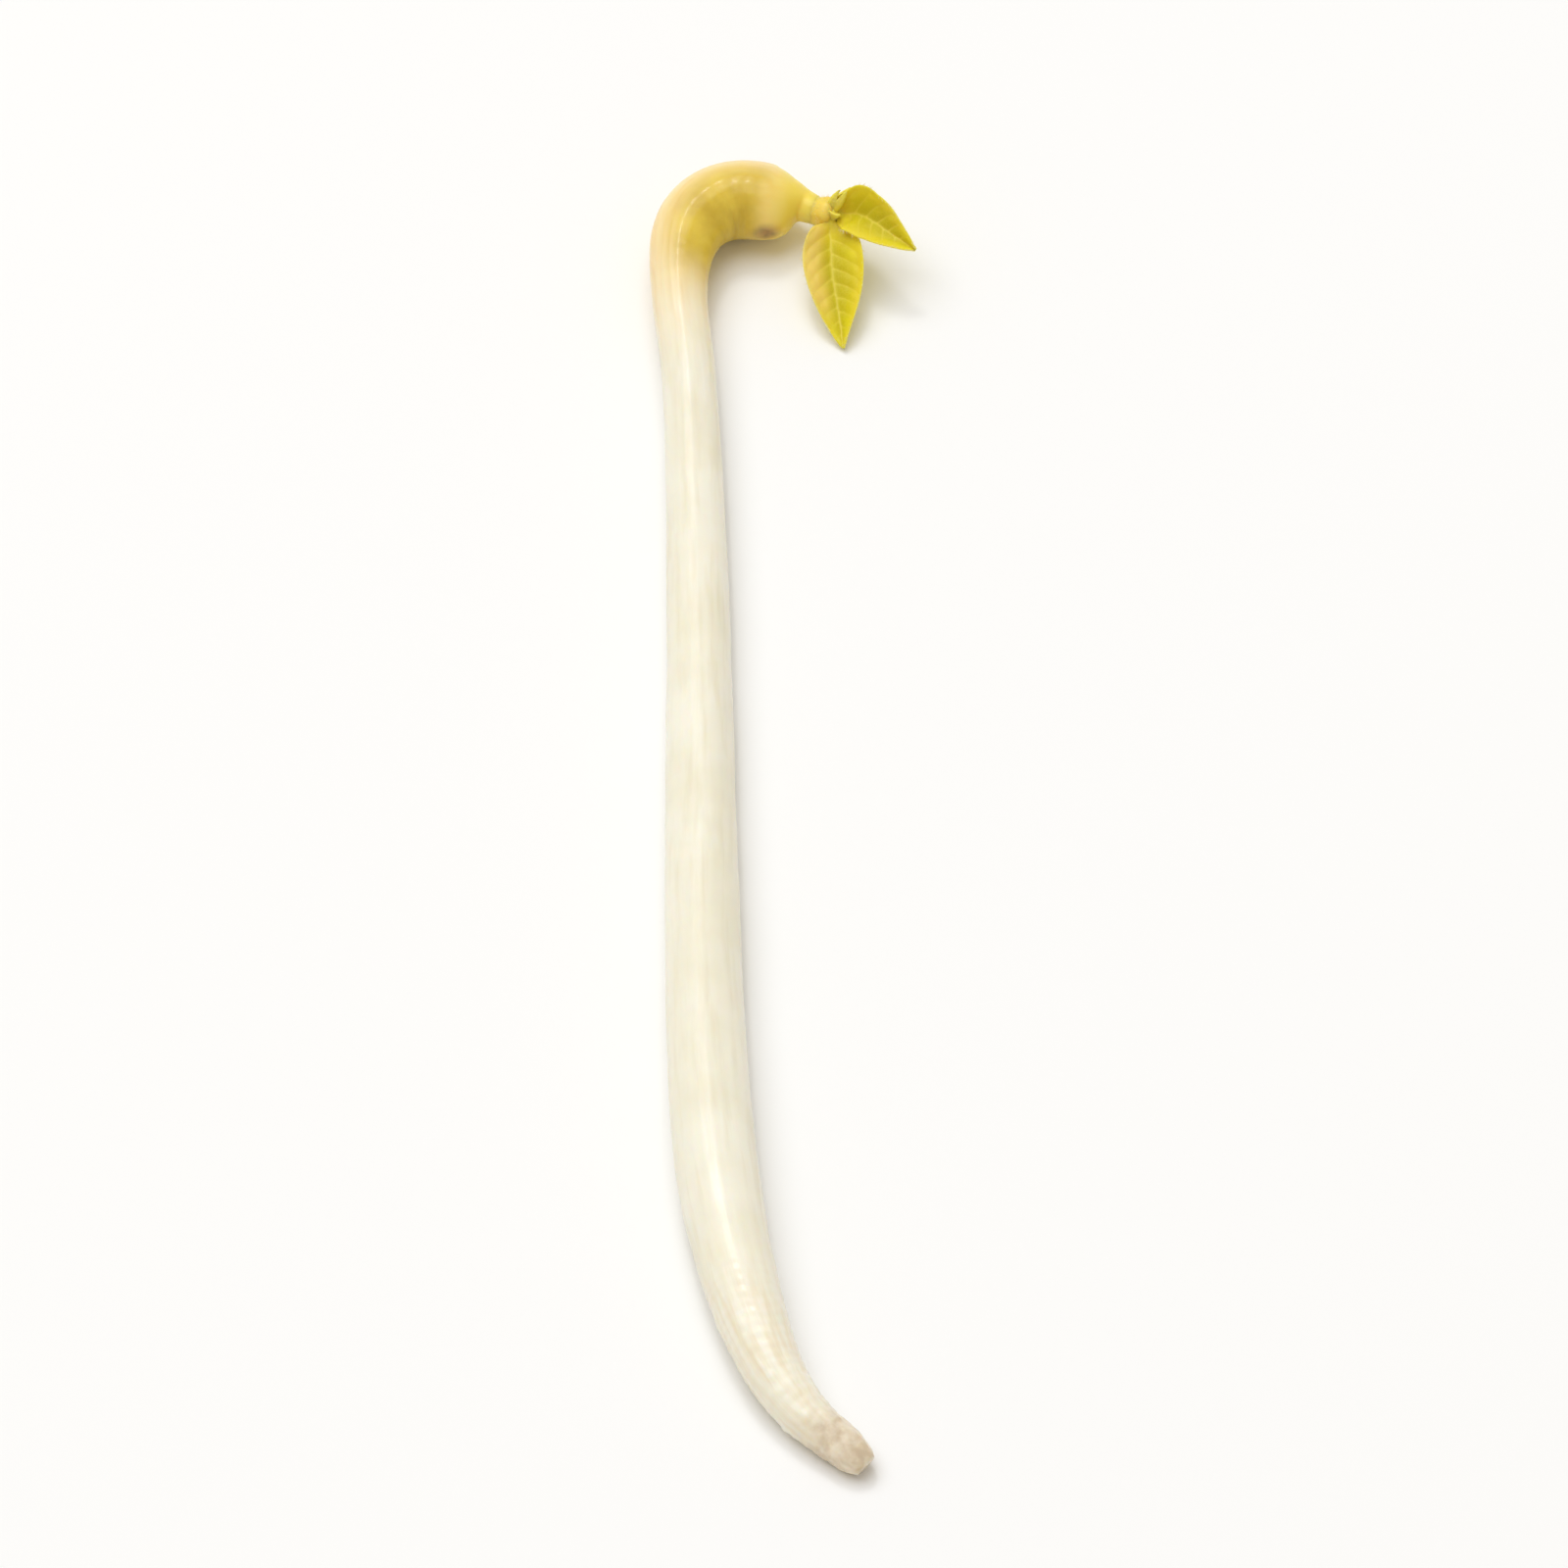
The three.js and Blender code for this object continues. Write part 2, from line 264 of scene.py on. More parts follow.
WIDEST_PLACE = 0.72  # exponent of the outline: below 1, the blade is widest before its middle
FULLNESS = 0.76  # exponent of the outline: the lower, the blunter its ends
LEAST_HALF_WIDTH = 0.015
LOPSIDEDNESS = 0.05
LOPSIDED_WAVE = 3  # radians over the leaf's length
CREASE = 0.14  # share of the half width over which the fold is rounded
CURL = 0.5  # radians by which a margin rolls in beyond the fold
CURL_BAND = (0.68, 1)  # of the share of the way from rib to margin
CURL_LEVEL = 0.7  # how much of the curl there is where the noise is 0
CURL_NOISE = (0.5, 0.6)
RUFFLE = (0.045, 1.5)  # of the margin, for a half width of 1

VEIN_SLANT = 0.45  # how far a side vein runs towards the tip on its way out, in half widths
VEIN_BEND = 0.4  # and how much further at the margin
VEIN_OFFSET = 0.35  # between the veins of the two halves, in spacings
VEIN_WANDER = (0.06, 0.8)
VEIN_WIDTH = 0.045
VEIN_TAPER = 0.4
VEIN_FADE = 0.5  # share by which side veins are weaker at the leaf's tip
VEIN_FADE_POWER = 5  # how late they fade towards the margin
RIB_WIDTH = 0.07
RIB_TAPER = 0.6
PUCKER = 0.014  # of the blade between its side veins, for a half width of 1
PUCKER_START = 0.2  # share of the half width
CRUMPLE = (0.03, 2.2)
CRUMPLE_START = 0.3
VEIN_ON_UPPER, VEIN_ON_LOWER = 0.012, 0.016  # sunk into the upper face, raised on the lower
RIB_ON_UPPER, RIB_ON_LOWER = 0.022, 0.09

STALK_END_BAND = (0.3, 2)  # in lengths of the stalk
STALK_HEIGHT = 0.95  # share of the stalk's width
EDGE_POWERS = (2, 8)  # power of the section's roundness on the stalk, and what the blade adds
MARGIN_THINNING = 0.35
TIP_THINNING = 0.5
LEAST_THICKNESS = 0.02  # square of the share that is left at the very end
LEAF_TIP_BAND = (0.6, 1)  # of the share of the leaf's length
LEAF_END_BAND = (0.96, 1.01)

# Where the leaf's marks start and end: shares of its length, or of the way from rib to margin.
# Along the margins a slightly more orange tone, with painted light where they catch the light.
RIM_BAND = (0.5, 1)
# Painted light on the half of a leaf that lies flatter in the light, fading towards the tip.
PAINTED_LIGHT_BAND = (0.05, 0.7)
PAINTED_LIGHT_END_BAND = (0.6, 0.9)
# Painted shade in the fold's hollow beside the rib.
HOLLOW_BAND = (0.1, 0.75)
HOLLOW_START_BAND = (0.1, 0.35)
SIDE_VEIN_SHARE = 0.8  # how strong side veins are against the rib

# ---- Hairs --------------------------------------------------------------------------------------

HAIR_PROFILE = [(0.0, 1.0), (0.35, 0.8), (0.7, 0.5)]  # shares of its length, and of its thickness
HAIR_BEND = 0.3  # share of its length
HAIR_CROSSWISE = (0.3, 0.8, 0.52)  # any direction that no hair grows in
HAIR_LENGTHS = (0.6, 1.15)  # shares of the length that is asked for
HAIR_LEAN = 0.8  # towards the last ring
HAIR_SINK = 0.01
HAIR_CLEARANCE = 0.05  # from the surface
LEAF_HAIRS = {"count": 150, "length": 0.15, "thickness": 0.012, "seed": 5}
SHOOT_HAIRS = {"count": 110, "length": 0.18, "thickness": 0.012, "seed": 7}
MARGIN_SHARE = 0.03  # of the way round a leaf's section
HAIRY_SHOOT = (0.45, 0.92)  # shares of the way along it

# ---- Colours, as they look on a screen ----------------------------------------------------------

WHITES = (244, 240, 224), (238, 233, 212)
STREAK = (228, 220, 192)
NECKS = (250, 222, 150), (246, 208, 124)
# Partly the hook's own yellow, partly painted shade.
OLIVES_AND_SHADE = (228, 200, 62), (208, 176, 38)
ROOTS = (246, 241, 224), (237, 226, 200)
SCARS = (168, 122, 62), (110, 72, 34)
BROWNS = (236, 225, 204), (211, 194, 167)
# Partly the shoot's own yellow, partly a painted highlight at the stem's end.
SHOOT_FOOT_AND_HIGHLIGHT = (252, 222, 94)
SHOOTS = (246, 218, 104), (232, 198, 72)
HAIRS = (250, 240, 190), (232, 212, 140)

# Of the leaves and of the scales: light, dark, and beside the rib, where the darker colour is
# painted shade in the fold's hollow.
LEAF_COLOURS = (226, 216, 34), (212, 196, 22), (192, 178, 14)
SCALE_COLOURS = (240, 222, 96), (228, 204, 70), (220, 204, 70)
LEAF_FOOT = (238, 214, 70)
# Margins: a slightly more orange tone, partly painted light where they catch the light.
LEAF_RIM_TONE_AND_LIGHT = (238, 216, 54)
# Painted light on the half of the front leaf that lies flatter in the light.
LEAF_PAINTED_LIGHT = (244, 214, 118)
LEAF_BELOW = (240, 226, 120)
LEAF_NET = (242, 230, 96)
LEAF_VEIN = (240, 226, 88)

LENGTHWISE = (1, 1, 0.1)  # stretch of the patterns that run along a stem
STEM_ROUGHNESS = (0.29, 0.38)
LEAF_ROUGHNESS = (0.38, 0.52)
SKIN_SCATTER = (1.0, 0.8, 0.5)  # how far red, green and blue light spread under the skin
LEAF_SCATTER = (1.0, 0.85, 0.2)

# ---- Surface, light and camera: metres, watts ---------------------------------------------------

FLOOR_HALF_SIZE = 1.5
FLOOR_COLOUR = (0.93, 0.93, 0.925, 1)
WORLD_COLOUR = (1.0, 0.94, 0.84, 1)
WORLD_STRENGTH = 0.54
KEY = {"place": (-0.26, 0.25, 1.12), "size": 1.3, "power": 9.0, "colour": (0.89, 0.93, 1.0)}
GLINT = {"place": (-0.15, 0.55, 1.00), "size": 0.22, "power": 1.4, "colour": (0.97, 0.98, 1.0)}

CAMERA_ELEVATION = 52  # degrees
CAMERA_LENS = 300
CAMERA_CLIP = (0.01, 10)
FRAME_SHARE = 0.86  # share of the picture's height that the sprout takes


# ---- Curves and noise ---------------------------------------------------------------------------

def spline(points, t, centripetal=True):
    """Points of a Catmull-Rom curve through points, at shares t of the way by point number."""
    points = np.asarray(points, float)
    first = 2 * points[0] - points[1] if centripetal else points[0]
    last = 2 * points[-1] - points[-2] if centripetal else points[-1]
    padded = np.vstack([first, points, last])
    place = np.clip(t, 0, 1) * (len(points) - 1)
    index = np.minimum(place.astype(int), len(points) - 2)
    w = (place - index)[:, None]
    a, b, c, d = (padded[index + k] for k in range(4))
    if centripetal:
        pairs = ((a, b), (b, c), (c, d))
        ab, bc, cd = (np.sqrt(np.linalg.norm(q - p, axis=1))[:, None] for p, q in pairs)
        leave = ((b - a) / ab - (c - a) / (ab + bc) + (c - b) / bc) * bc
        arrive = ((c - b) / bc - (d - b) / (bc + cd) + (d - c) / cd) * bc
    else:
        leave = (c - a) / 2
        arrive = (d - b) / 2
    return ((2 * w**3 - 3 * w**2 + 1) * b + (w**3 - 2 * w**2 + w) * leave
            + (3 * w**2 - 2 * w**3) * c + (w**3 - w**2) * arrive)


def even_shares(points, count):
    """Shares t at which count points lie evenly along the curve's length, and that length."""
    t = np.linspace(0, 1, CURVE_SAMPLES * len(points))
    steps = np.linalg.norm(np.diff(spline(points, t), axis=0), axis=1)
    length = np.concatenate([[0], np.cumsum(steps)])
    return np.interp(np.linspace(0, length[-1], count), length, t), length[-1]


def unit(vector):
    return np.array(vector) / np.linalg.norm(vector)


def frames(points, t, facing, nudge=1e-4):
    """Centre, tangent, side and up of a curve's cross-sections. facing is one vector or one per
    section; nudge is the share of the curve to either side that the tangent is taken over."""
    tangent = spline(points, np.minimum(t + nudge, 1)) - spline(points, np.maximum(t - nudge, 0))
    tangent /= np.linalg.norm(tangent, axis=1)[:, None]
    side = np.cross(tangent, facing)
    side /= np.linalg.norm(side, axis=1)[:, None]
    return spline(points, t), tangent, side, np.cross(side, tangent)


def outwards(side, up, angle):
    """Directions out of a round body's cross-sections, at each angle round them."""
    return np.cos(angle)[..., None] * side[:, None] + np.sin(angle)[..., None] * up[:, None]


def angles(count):
    return np.linspace(0, FULL_TURN, count, endpoint=False)[None, :]


def straightened(radius, angle, along):
    """Places on the skin of a round body, as they would be if its axis were straight."""
    return np.stack([radius * np.cos(angle), radius * np.sin(angle), along + 0 * angle], -1)


def smoothstep(value, low, high):
    share = np.clip((value - low) / (high - low), 0, 1)
    return share * share * (3 - 2 * share)


def hill(distance, radius, power=2):
    """From 1 at distance 0 down to nothing: a bell, or with a higher power a flat-topped one."""
    return np.exp(-((distance / radius) ** power))


def noise_at(points, scale, seed):
    """Smooth noise from -1 to 1 at points; scale is its cells per millimetre."""
    offset = Vector((seed, 2.7 * seed, -1.3 * seed))
    flat = np.asarray(points, float).reshape(-1, 3)
    values = np.array([noise.noise(Vector(p) * scale + offset) for p in flat])
    return values.reshape(np.asarray(points).shape[:-1])


def lumps(points, height, scale, seed):
    return height * noise_at(points, scale, seed)


def wavy_rings(points, along, height, spacing, bend, seed):
    """Rings round a stem that noise bends out of true."""
    return height * np.sin(FULL_TURN * along / spacing + bend * noise_at(points, RING_NOISE, seed))


# ---- Meshes -------------------------------------------------------------------------------------

def object_of(mesh):
    made = bpy.data.objects.new(mesh.name, mesh)
    bpy.context.scene.collection.objects.link(made)
    return made


def with_ends(values):
    """Values for every ring point, then for the points in the middle of the first and last ring."""
    flat = values.reshape(-1, *values.shape[2:])
    return np.concatenate([flat, [values[0].mean(0), values[-1].mean(0)]]).astype(np.float32)


def solid_from_rings(name, rings, marks, skin):
    """A closed smooth mesh over rings of points, with a point over each end.
    marks are values per ring point that its material reads; skin is each ring point's place on the
    straightened piece, that its patterns are drawn by."""
    count_rings, count = rings.shape[:2]
    points = np.vstack([rings.reshape(-1, 3), rings[0].mean(0), rings[-1].mean(0)])
    start, end = count_rings * count, count_rings * count + 1
    ring = np.arange(count_rings - 1)[:, None] * count
    k = np.arange(count)[None, :]
    after = (k + 1) % count
    quads = np.stack([ring + k, ring + k + count, ring + after + count, ring + after], -1)
    last = (count_rings - 1) * count
    fans = [(start, int(a), int(b)) for a, b in zip(k[0], after[0])]
    fans += [(end, int(last + b), int(last + a)) for a, b in zip(k[0], after[0])]
    mesh = bpy.data.meshes.new(name)
    mesh.from_pydata((points + SHIFT) * MM, [], quads.reshape(-1, 4).tolist() + fans)
    mesh.polygons.foreach_set("use_smooth", np.ones(len(mesh.polygons), bool))
    for mark, values in marks.items():
        attribute = mesh.attributes.new(mark, "FLOAT", "POINT")
        attribute.data.foreach_set("value", with_ends(values))
    places = mesh.attributes.new("skin", "FLOAT_VECTOR", "POINT")
    places.data.foreach_set("vector", with_ends(skin).ravel())
    return object_of(mesh)


# ---- Stem and root ------------------------------------------------------------------------------

def stem_path():
    x, y, radius, lift = STEM_STATIONS.T
    return np.stack([x, y, radius + lift - FLATTENING], 1)


def stem_radius(t):
    radius = STEM_STATIONS[:, 2]
    return spline(np.stack([radius, 0 * radius], 1), t, centripetal=False)[:, 0]


def stem_rings():
    """The stem's skin as rings of points, with the marks that its material reads."""
    path = stem_path()
    t, length = even_shares(path, STEM_RINGS)
    centre, _, side, up = frames(path, t, UP, STEM_NUDGE)
    along = np.linspace(0, length, STEM_RINGS)[:, None]
    angle = angles(STEM_SIDES)
    y = centre[:, 1][:, None]
    radius = stem_radius(t)[:, None]
    ridges = STEM_RIDGE * np.cos(STEM_RIDGES * angle + STEM_RIDGE_TWIST * y)
    uneven = radius * (1 + STEM_OVAL * np.cos(2 * angle) + ridges)
    out = outwards(side, up, angle)
    base = centre[:, None] + uneven[..., None] * out

    marks = stem_marks(base, along, (t * (len(path) - 1))[:, None], y, angle)
    relief = stem_relief(base, along, y, angle, marks) + nub_relief(along, angle, radius)
    scar_relief, marks["scar"] = scars(base, path)
    rings = base + (relief + scar_relief)[..., None] * out
    rings[..., 2] = np.maximum(rings[..., 2], 0)
    return rings, marks, straightened(radius, angle, along)


def stem_marks(base, along, station, y, angle):
    """Where the skin is the root's, its brown tip's, the neck's, olive inside the hook, or bright at
    its end. The olive is partly the hook's own yellow and partly painted shade on the inner side of
    the bend; the bright end is partly the shoot's yellow and partly a painted highlight.
    """
    patchy = station + lumps(base, *PATCHES) - PATCH_LEAN * np.sin(angle)
    hook = smoothstep(station, *HOOK_BAND) + 0 * angle
    inside = smoothstep(np.cos(angle), *OLIVE_SIDE_BAND)
    return {
        "root": smoothstep(-y, *ROOT_BAND) + 0 * angle,
        "tip": 1 - smoothstep(along + lumps(base, *TIP_EDGE), *TIP_BAND),
        "neck": smoothstep(y, *NECK_BAND) + 0 * angle,
        "inner": hook * inside * (1 - smoothstep(patchy, *OLIVE_END_BAND)),
        "end": smoothstep(patchy, *YELLOW_AND_HIGHLIGHT_END_BAND) + 0 * angle,
    }


def stem_relief(base, along, y, angle, marks):
    """How far the skin stands out from the even stem."""
    root, tip, end = marks["root"], marks["tip"], marks["end"]
    swell = lumps(base, *BROAD_SWELL) + lumps(base, *FINE_SWELL)
    wander = lumps(base * LINE_STRETCH, *LINE_WANDER)
    lines = LINE_HEIGHT * np.sin(LINES * angle + wander)
    fade = LINE_FADE * np.sin(LINE_FADE_RATE * along + LINE_FADE_TURNS * angle)
    lines = lines * (1 - LINE_FADE + fade)
    folds = marks["inner"] * wavy_rings(base, along, *HOOK_FOLDS)
    wrinkles = root * wavy_rings(base, along, *ROOT_WRINKLES)
    rough = root * (lumps(base, *ROOT_LUMPS) + lumps(base, *ROOT_GRAIN))
    collar = -COLLAR_DEPTH * hill(y - COLLAR_Y + COLLAR_SLANT * np.sin(angle), COLLAR_WIDTH)
    broken = tip * (lumps(base, *BROKEN_END) - BROKEN_LOSS)
    even = swell * (1 - tip) * (1 - end) + lines * (1 - root) * (1 - end)
    return even + folds + wrinkles + rough + collar + broken


def nub_relief(along, angle, radius):
    """The buds of the side roots, as low bumps in rows along the root."""
    dice = random.Random(NUB_SEED)
    relief = 0
    for row in range(NUB_ROWS):
        for step in range(NUBS_IN_ROW):
            place = NUB_START + NUB_SPACING * step + dice.uniform(-NUB_SCATTER, NUB_SCATTER)
            scatter = dice.uniform(-NUB_ANGLE_SCATTER, NUB_ANGLE_SCATTER)
            towards = NUB_FIRST_ANGLE + row * FULL_TURN / NUB_ROWS + scatter
            height = dice.uniform(*NUB_HEIGHTS)
            turn = (angle - towards + math.pi) % FULL_TURN - math.pi
            bump = hill(along - place, NUB_LENGTH) * hill(turn * radius, NUB_WIDTH)
            relief = relief + height * bump
    return relief


def scars(base, path):
    """Relief and brownness of the two scars of the seed leaves: a mound with a lip round a pit."""
    relief, brown = 0, 0
    t = np.array([SCAR_STATION / (len(path) - 1)])
    centre, way, side, _ = frames(path, t, UP)
    for towards in (1, -1):
        away = base - (centre[0] + towards * stem_radius(t)[0] * side[0])
        lengthwise = away @ way[0]
        distance = np.sqrt((away**2).sum(-1) - SCAR_SHORTENING * lengthwise**2)
        lip = hill(distance - SCAR_RADIUS, SCAR_LIP_WIDTH)
        pit = hill(distance, SCAR_PIT_SHARE * SCAR_RADIUS, 4)
        mound = hill(distance, SCAR_MOUND_RADIUS)
        relief = relief + SCAR_PROUD * mound + SCAR_LIP * lip - SCAR_PIT * pit
        brown = np.maximum(brown, np.clip(SCAR_LIP_BROWN * lip + pit, 0, 1))
    return relief, brown


# ---- Shoot --------------------------------------------------------------------------------------

def shoot_rings():
    t, length = even_shares(SHOOT_PATH, SHOOT_RINGS)
    centre, _, side, up = frames(SHOOT_PATH, t, UP)
    share = np.linspace(0, 1, SHOOT_RINGS)
    radius = SHOOT_RADIUS * np.interp(share, *np.array(SHOOT_PROFILE).T)
    padded = np.pad(radius, SHOOT_SMOOTHING, "edge")
    window = 2 * SHOOT_SMOOTHING + 1
    radius = np.convolve(padded, np.ones(window) / window, "valid")[:, None]
    share = share[:, None]
    angle = angles(SHOOT_SIDES)
    along = share * length
    out = outwards(side, up, angle)
    base = centre[:, None] + radius[..., None] * out
    ridges = SHOOT_RIDGE * np.cos(SHOOT_RIDGES * angle + SHOOT_RIDGE_TWIST * along)
    relief = (ridges + lumps(base, *SHOOT_LUMPS)) * smoothstep(share, *SHOOT_LUMPS_BAND)
    marks = {"foot": 1 - smoothstep(share, *SHOOT_FOOT_BAND) + 0 * angle}
    return base + relief[..., None] * out, marks, straightened(radius, angle, along)


def small_leaf(rib, facing, half_width, fold, seed):
    return {"rib": rib, "facing": [facing, facing], "half_width": half_width, "fold": fold,
            "waves": SCALE_WAVES, "wave": SCALE_WAVE, "seed": seed, "pale": 0.0}


def bud_leaflets():
    """The next leaf's three leaflets, folded round one another in a pointed bud."""
    axis = unit(BUD_DIRECTION)
    sideways = unit(np.cross(axis, UP))
    for k, share in enumerate(BUD_LEAFLETS):
        turn = BUD_TURN + k * FULL_TURN / len(BUD_LEAFLETS)
        outward = math.cos(turn) * sideways + math.sin(turn) * np.cross(axis, sideways)
        rib = [JOINT + axis * BUD_LENGTH * share * far + outward * bulge
               for far, bulge in BUD_BULGE]
        yield small_leaf(rib, -outward, BUD_LEAFLET_HALF_WIDTH, BUD_LEAFLET_FOLD, BUD_SEED + k)


def stipules():
    """The two scales at the feet of the leaf stalks, cupped round the bud."""
    axis = unit(BUD_DIRECTION)
    for k, direction in enumerate(STIPULE_DIRECTIONS):
        way = unit(direction)
        inward = unit(axis - way * (axis @ way))
        rib = [JOINT + way * STIPULE_LENGTH * far + inward * bend for far, bend in STIPULE_BEND]
        yield small_leaf(rib, inward, STIPULE_HALF_WIDTH, STIPULE_FOLD, STIPULE_SEED + k)


# ---- Leaves -------------------------------------------------------------------------------------

# In all of these, u is the share of the leaf's length, and v goes from -1 at one margin over 0 at
# the rib to 1 at the other.

def half_widths(leaf, u, v, stalk, stalk_share):
    """Half the leaf's width, a little different on its two halves."""
    blade_u = np.clip((u - stalk_share) / (1 - stalk_share), 0, 1)
    swell = np.sin(math.pi * blade_u**WIDEST_PLACE) ** FULLNESS
    half_width = stalk * (1 - u**2) + (leaf["half_width"] - stalk) * swell
    half_width = np.maximum(half_width, LEAST_HALF_WIDTH)
    swing = np.sin(LOPSIDED_WAVE * u + leaf["seed"])
    return half_width * (1 + LOPSIDEDNESS * np.sign(v) * swing)


def folded(slope, v, half_width):
    """How far a section reaches across and then up, from its rib out along its slope."""
    middle = v.shape[1] // 2
    for rate in (np.cos(slope), np.sin(slope)):
        steps = (rate[:, 1:] + rate[:, :-1]) / 2 * np.diff(v, axis=1)
        total = np.concatenate([0 * rate[:, :1], np.cumsum(steps, 1)], 1)
        yield (total - total[:, middle:middle + 1]) * half_width


def leaf_veins(leaf, u, v, flat, length, half_width, blade, vein_spacing):
    """Strength of the side veins and of the rib, and how far the blade swells and crumples between
    them. Side veins leave the rib at a slant and bend towards the tip."""
    rim = np.abs(v)
    slant = u * length - half_width * (VEIN_SLANT * rim + VEIN_BEND * v * v)
    slant = slant + VEIN_OFFSET * vein_spacing * (v > 0)
    slant = slant + lumps(flat, *VEIN_WANDER, leaf["seed"] + 8)
    phase = (slant / vein_spacing) % 1 - 0.5
    fade = (1 - rim**VEIN_FADE_POWER) * (1 - VEIN_FADE * smoothstep(u, *LEAF_TIP_BAND))
    vein = blade * hill(phase * vein_spacing, VEIN_WIDTH) * fade * (1 - VEIN_TAPER * rim)
    rib = blade * hill(v * half_width, RIB_WIDTH)
    pucker = -PUCKER * np.cos(FULL_TURN * phase) * fade * (1 - hill(v, PUCKER_START))
    crumple = lumps(flat, *CRUMPLE, leaf["seed"] + 12) * (1 - hill(v, CRUMPLE_START))
    return vein, rib, blade * half_width * (pucker + crumple)


def half_thickness(u, v, blade, thickness, stalk):
    """Half the thickness of the section, round on the stalk and flat with a round edge beyond."""
    rim = np.abs(v)
    thick = blade * thickness / 2 * (1 - MARGIN_THINNING * rim) + (1 - blade) * stalk * STALK_HEIGHT
    thick = thick * (1 - TIP_THINNING * smoothstep(u, *LEAF_TIP_BAND))
    end = np.clip(1 - smoothstep(u, *LEAF_END_BAND), LEAST_THICKNESS, 1)
    on_stalk, more_on_blade = EDGE_POWERS
    return thick * np.sqrt(end) * np.sqrt(1 - rim ** (on_stalk + more_on_blade * blade))


def around(lower, upper):
    """Rings that run over a blade's lower face and back over its upper face."""
    return np.concatenate([lower, upper[:, -2:0:-1]], 1)


def leaf_rings(leaf, rows, columns, thickness, stalk, stalk_share, vein_spacing):
    """A folded leaf's skin as rings of points, with the marks that its material reads."""
    t, length = even_shares(leaf["rib"], rows)
    u = np.linspace(0, 1, rows)[:, None]
    v = np.sin(np.linspace(-math.pi / 2, math.pi / 2, columns))[None, :]
    rim = np.abs(v)
    start, end = (unit(facing) for facing in leaf["facing"])
    centre, _, side, up = frames(leaf["rib"], t, start + u * (end - start))
    flat = np.stack([u * length + 0 * v, 2 * v + 0 * u, 0 * u + 0 * v], -1)
    half_width = half_widths(leaf, u, v, stalk, stalk_share)
    blade = smoothstep(u, *(share * stalk_share for share in STALK_END_BAND))

    # The section turns up from the rib into the fold, and rolls in along the margin.
    roll = CURL * np.sign(v) * smoothstep(rim, *CURL_BAND)
    roll = roll * (CURL_LEVEL + lumps(flat, *CURL_NOISE, leaf["seed"]))
    slope = blade * (math.radians(leaf["fold"]) * v / np.hypot(v, CREASE) + roll)
    across, height = folded(slope, v, half_width)
    wave = leaf["wave"] * v * v * np.sin(FULL_TURN * leaf["waves"] * u + v)
    ruffle = half_width * rim**4 * lumps(flat, *RUFFLE, leaf["seed"] + 4)
    vein, rib, swelling = leaf_veins(leaf, u, v, flat, length, half_width, blade, vein_spacing)
    height = height + blade * (wave + ruffle) + swelling

    face = centre[:, None] + across[..., None] * side[:, None] + height[..., None] * up[:, None]
    normal = np.cross(np.gradient(face, axis=1), np.gradient(face, axis=0))
    normal /= np.maximum(np.linalg.norm(normal, axis=-1), 1e-9)[..., None]
    thick = half_thickness(u, v, blade, thickness, stalk)
    raised = thickness / BLADE_THICKNESS
    upper = thick - raised * (VEIN_ON_UPPER * vein + RIB_ON_UPPER * rib)
    lower = thick + raised * (VEIN_ON_LOWER * vein + RIB_ON_LOWER * rib * (1 - RIB_TAPER * u))
    rings = around(face - lower[..., None] * normal, face + upper[..., None] * normal)
    rings[..., 2] = np.maximum(rings[..., 2], 0)

    def both(values):
        values = values + 0 * height
        return around(values, values)

    # Painted light on the half that lies flatter in the light.
    pale = smoothstep(v, *PAINTED_LIGHT_BAND) * (1 - smoothstep(u, *PAINTED_LIGHT_END_BAND))
    # Painted shade in the hollow beside the rib.
    hollow = (1 - smoothstep(rim, *HOLLOW_BAND)) * smoothstep(u, *HOLLOW_START_BAND)
    marks = {
        "along": both(u),
        "rim": both(blade * smoothstep(rim, *RIM_BAND)),
        "pale": both(leaf["pale"] * blade * pale),
        "hollow": both(blade * hollow),
        "vein": both(np.clip(SIDE_VEIN_SHARE * vein + rib, 0, 1)),
        "upper": around(0 * height, 0 * height + 1),
    }
    skin = np.stack([both(v * half_width), both(u * length), marks["upper"]], -1)
    return rings, marks, skin


# ---- Hairs --------------------------------------------------------------------------------------

def hair_mesh(name, hairs, thickness, dice):
    """Fine tapering hairs, each a closed three-sided spike that bends a little, in one mesh."""
    points, faces = [], []
    for foot, way, length in hairs:
        way = unit(way)
        side = unit(np.cross(way, HAIR_CROSSWISE))
        other = np.cross(way, side)
        bend = dice.uniform(-HAIR_BEND, HAIR_BEND) * side
        bend = (bend + dice.uniform(-HAIR_BEND, HAIR_BEND) * other) * length
        first = len(points)
        for share, width in HAIR_PROFILE:
            middle = foot + way * length * share + bend * share**2
            for k in range(3):
                turn = k * FULL_TURN / 3
                out = math.cos(turn) * side + math.sin(turn) * other
                points.append(middle + thickness / 2 * width * out)
        points.append(foot + way * length + bend)
        faces.append((first + 2, first + 1, first))
        pairs = [(k, (k + 1) % 3) for k in range(3)]
        for ring in (first, first + 3):
            faces += [(ring + a, ring + b, ring + b + 3, ring + a + 3) for a, b in pairs]
        faces += [(first + 6 + a, first + 6 + b, first + 9) for a, b in pairs]
    points = np.array(points)
    points[:, 2] = np.maximum(points[:, 2], 0)
    mesh = bpy.data.meshes.new(name)
    mesh.from_pydata((points + SHIFT) * MM, [], faces)
    return object_of(mesh)


